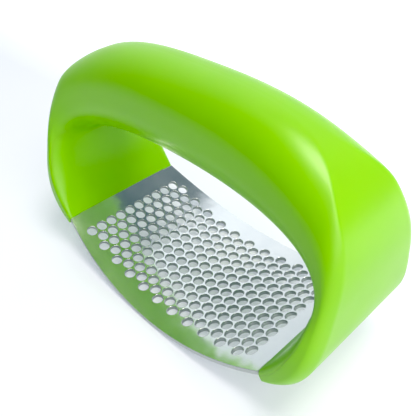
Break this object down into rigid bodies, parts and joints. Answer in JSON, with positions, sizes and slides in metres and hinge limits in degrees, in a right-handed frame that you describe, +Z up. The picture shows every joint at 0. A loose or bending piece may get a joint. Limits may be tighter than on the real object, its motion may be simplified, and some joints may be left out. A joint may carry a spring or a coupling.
{
  "type": "garlic press",
  "caption": "Rocker garlic press: a curved perforated steel plate held at both ends by a hollow plastic hoop handle.",
  "frame": {"origin": "on the bench, under the middle of the curved plate, at the bottom centre of the bounding box", "axes": "+X along the press from one leg of the hoop to the other, +Y across it, +Z up to the crown of the handle"},
  "size_m": [0.106, 0.0502, 0.068],
  "materials": {
    "stainless_steel": "bright rolled stainless steel with a soft sheen",
    "green_plastic": "lime green moulded plastic, slightly translucent, satin gloss"
  },
  "bodies": {
    "root": {"press_plate": "stainless_steel", "handle_outer_shell": "green_plastic", "handle_inner_liner": "green_plastic"}
  },
  "joints": []
}
